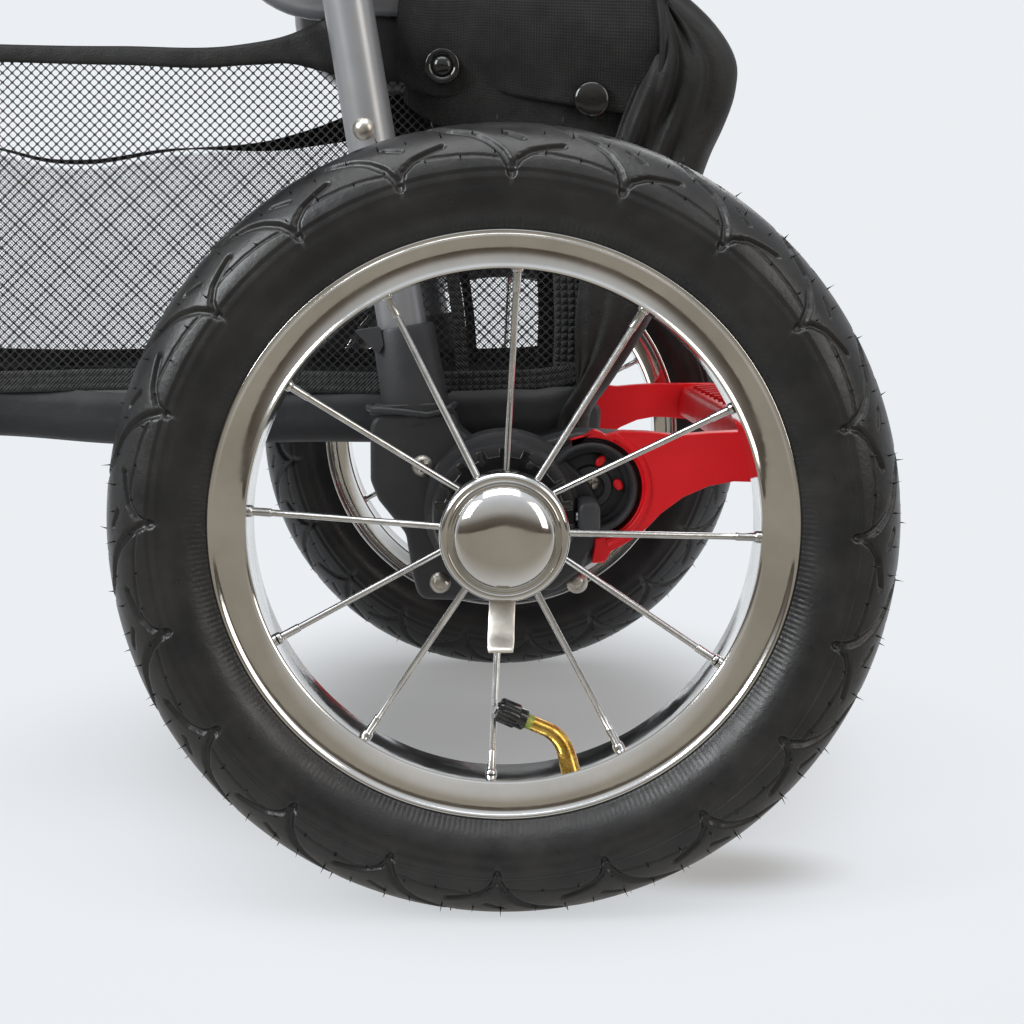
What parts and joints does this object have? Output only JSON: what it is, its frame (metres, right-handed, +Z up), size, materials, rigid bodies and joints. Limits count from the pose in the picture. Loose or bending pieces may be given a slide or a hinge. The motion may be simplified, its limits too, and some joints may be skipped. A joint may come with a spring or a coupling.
{
  "type": "baby stroller",
  "caption": "Folding pushchair with a swivelling front wheel, air tyres on chrome spoked rims, a red foot brake bar, net basket, reclining seat and folding hood.",
  "frame": {"origin": "middle of the bounding box in X and Y, on the floor under the wheels", "axes": "+Y points to the back and is the longest side, +X points to the stroller's left and is the shortest side, +Z is up"},
  "size_m": [0.619, 1.1519, 1.0469],
  "materials": {
    "tyre": "satin moulded rubber",
    "inner_tube": "soft rubber with a brass valve",
    "chrome": "bright chrome plate",
    "hub": "moulded plastic",
    "bearing": "ground steel",
    "spring_steel": "satin nickel",
    "silver_tube": "silver powder coat",
    "black_plastic": "moulded plastic, fine grain",
    "red_plastic": "gloss",
    "steel": "zinc plate",
    "black_fabric": "woven polyester",
    "net": "knitted net with a solid bottom",
    "webbing": "ribbed webbing",
    "foam": "closed-cell foam"
  },
  "bodies": {
    "chassis": {"front_frame": "silver_tube", "head_tube": "black_plastic", "seat_side_tubes": "silver_tube", "hinge_blocks": "black_plastic", "hinge_pins": "steel", "footrest": "black_plastic", "seat_pad": "black_fabric", "seat_sling": "black_fabric", "side_sleeves": "black_fabric", "lap_harness": "webbing", "buckle": "black_plastic", "basket": "net", "canopy_rear_bow": "black_plastic", "canopy_rear_panel": "black_fabric", "frame_lugs": "black_plastic"},
    "canopy_mid": {"canopy_mid_bow": "black_plastic", "canopy_front_panel": "black_fabric"},
    "canopy_front": {"canopy_front_bow": "black_plastic"},
    "backrest": {"back_frame": "silver_tube", "back_pad": "black_fabric", "shoulder_straps": "webbing"},
    "handle": {"handle_tube": "silver_tube", "handle_grip": "foam", "handle_knuckles": "black_plastic"},
    "left_trigger": {"left_trigger": "black_plastic"},
    "right_trigger": {"right_trigger": "black_plastic"},
    "rear_legs": {"leg_tubes": "silver_tube", "axle_brackets": "black_plastic", "rear_axle": "steel", "rear_fasteners": "chrome"},
    "brake": {"brake_bar": "red_plastic"},
    "brake_pins": {"brake_pins": "steel"},
    "left_wheel": {"left_tyre": "tyre", "left_inner_tube": "inner_tube", "left_rim": "chrome", "left_spokes": "chrome", "left_hub": "hub", "left_bearings": "bearing", "left_brake_ring": "black_plastic", "left_hub_cap": "chrome"},
    "left_clip": {"left_axle_clip": "spring_steel"},
    "right_wheel": {"right_tyre": "tyre", "right_inner_tube": "inner_tube", "right_rim": "chrome", "right_spokes": "chrome", "right_hub": "hub", "right_bearings": "bearing", "right_brake_ring": "black_plastic", "right_hub_cap": "chrome"},
    "right_clip": {"right_axle_clip": "spring_steel"},
    "fork": {"fork": "silver_tube", "front_axle": "steel"},
    "front_wheel": {"front_tyre": "tyre", "front_inner_tube": "inner_tube", "front_rim": "chrome", "front_spokes": "chrome", "front_hub": "hub", "front_bearings": "bearing"},
    "swivel_knob": {"swivel_knob": "red_plastic"},
    "bumper": {"bumper_bar": "foam"}
  },
  "joints": [
    {"name": "handle_fold", "type": "hinge", "parent": "chassis", "child": "handle", "pos_m": [0, 0.156, 0.6], "axis": [1, 0, 0], "range_deg": [0, 145]},
    {"name": "leg_fold", "type": "hinge", "parent": "chassis", "child": "rear_legs", "pos_m": [0, 0.156, 0.6], "axis": [1, 0, 0], "range_deg": [-50.1, 0], "deforming": ["basket"]},
    {"name": "left_trigger_pull", "type": "slide", "parent": "handle", "child": "left_trigger", "axis": [0, 0.6838, 0.7296], "range_m": [0, 0.012], "stiffness_N_per_m": 300, "springref_m": -0.004},
    {"name": "right_trigger_pull", "type": "slide", "parent": "handle", "child": "right_trigger", "axis": [0, 0.6838, 0.7296], "range_m": [0, 0.012], "stiffness_N_per_m": 300, "springref_m": -0.004},
    {"name": "left_wheel_spin", "type": "hinge", "parent": "rear_legs", "child": "left_wheel", "pos_m": [0.26, 0.259, 0.15], "axis": [1, 0, 0], "continuous": true},
    {"name": "right_wheel_spin", "type": "hinge", "parent": "rear_legs", "child": "right_wheel", "pos_m": [-0.26, 0.259, 0.15], "axis": [1, 0, 0], "continuous": true},
    {"name": "left_clip_press", "type": "slide", "parent": "left_wheel", "child": "left_clip", "axis": [0, 0, 1], "range_m": [0, 0.003], "stiffness_N_per_m": 800, "springref_m": -0.002},
    {"name": "right_clip_press", "type": "slide", "parent": "right_wheel", "child": "right_clip", "axis": [0, 0, 1], "range_m": [0, 0.003], "stiffness_N_per_m": 800, "springref_m": -0.002},
    {"name": "brake_press", "type": "hinge", "parent": "rear_legs", "child": "brake", "pos_m": [0, 0.2977, 0.159], "axis": [1, 0, 0], "range_deg": [-22, 0]},
    {"name": "brake_pin_slide", "type": "slide", "parent": "rear_legs", "child": "brake_pins", "axis": [0, 1, 0], "range_m": [-0.004, 0]},
    {"name": "fork_swivel", "type": "hinge", "parent": "chassis", "child": "fork", "pos_m": [0, -0.471, 0.37], "axis": [0, 0, 1], "continuous": true},
    {"name": "front_wheel_spin", "type": "hinge", "parent": "fork", "child": "front_wheel", "pos_m": [0, -0.426, 0.15], "axis": [1, 0, 0], "continuous": true},
    {"name": "swivel_knob_lift", "type": "slide", "parent": "chassis", "child": "swivel_knob", "axis": [0, 0, 1], "range_m": [0, 0.006], "stiffness_N_per_m": 200, "springref_m": -0.002},
    {"name": "canopy_mid_fold", "type": "hinge", "parent": "chassis", "child": "canopy_mid", "pos_m": [0, 0.156, 0.6], "axis": [1, 0, 0], "range_deg": [-30, 0], "deforming": ["canopy_rear_panel", "canopy_front_panel"]},
    {"name": "canopy_front_fold", "type": "hinge", "parent": "canopy_mid", "child": "canopy_front", "pos_m": [0, 0.156, 0.6], "axis": [1, 0, 0], "range_deg": [-30, 0]},
    {"name": "recline", "type": "hinge", "parent": "chassis", "child": "backrest", "pos_m": [0, 0.294, 0.385], "axis": [1, 0, 0], "range_deg": [-40, 0]},
    {"name": "bumper_swing", "type": "hinge", "parent": "chassis", "child": "bumper", "pos_m": [0, 0.054, 0.59], "axis": [1, 0, 0], "range_deg": [-55, 0]}
  ],
  "couplings": [
    {"joint": "leg_fold", "follows": "handle_fold", "ratio": -0.345},
    {"joint": "brake_pin_slide", "follows": "brake_press", "m_per_rad": 0.0104},
    {"joint": "canopy_front_fold", "follows": "canopy_mid_fold", "ratio": 1}
  ]
}
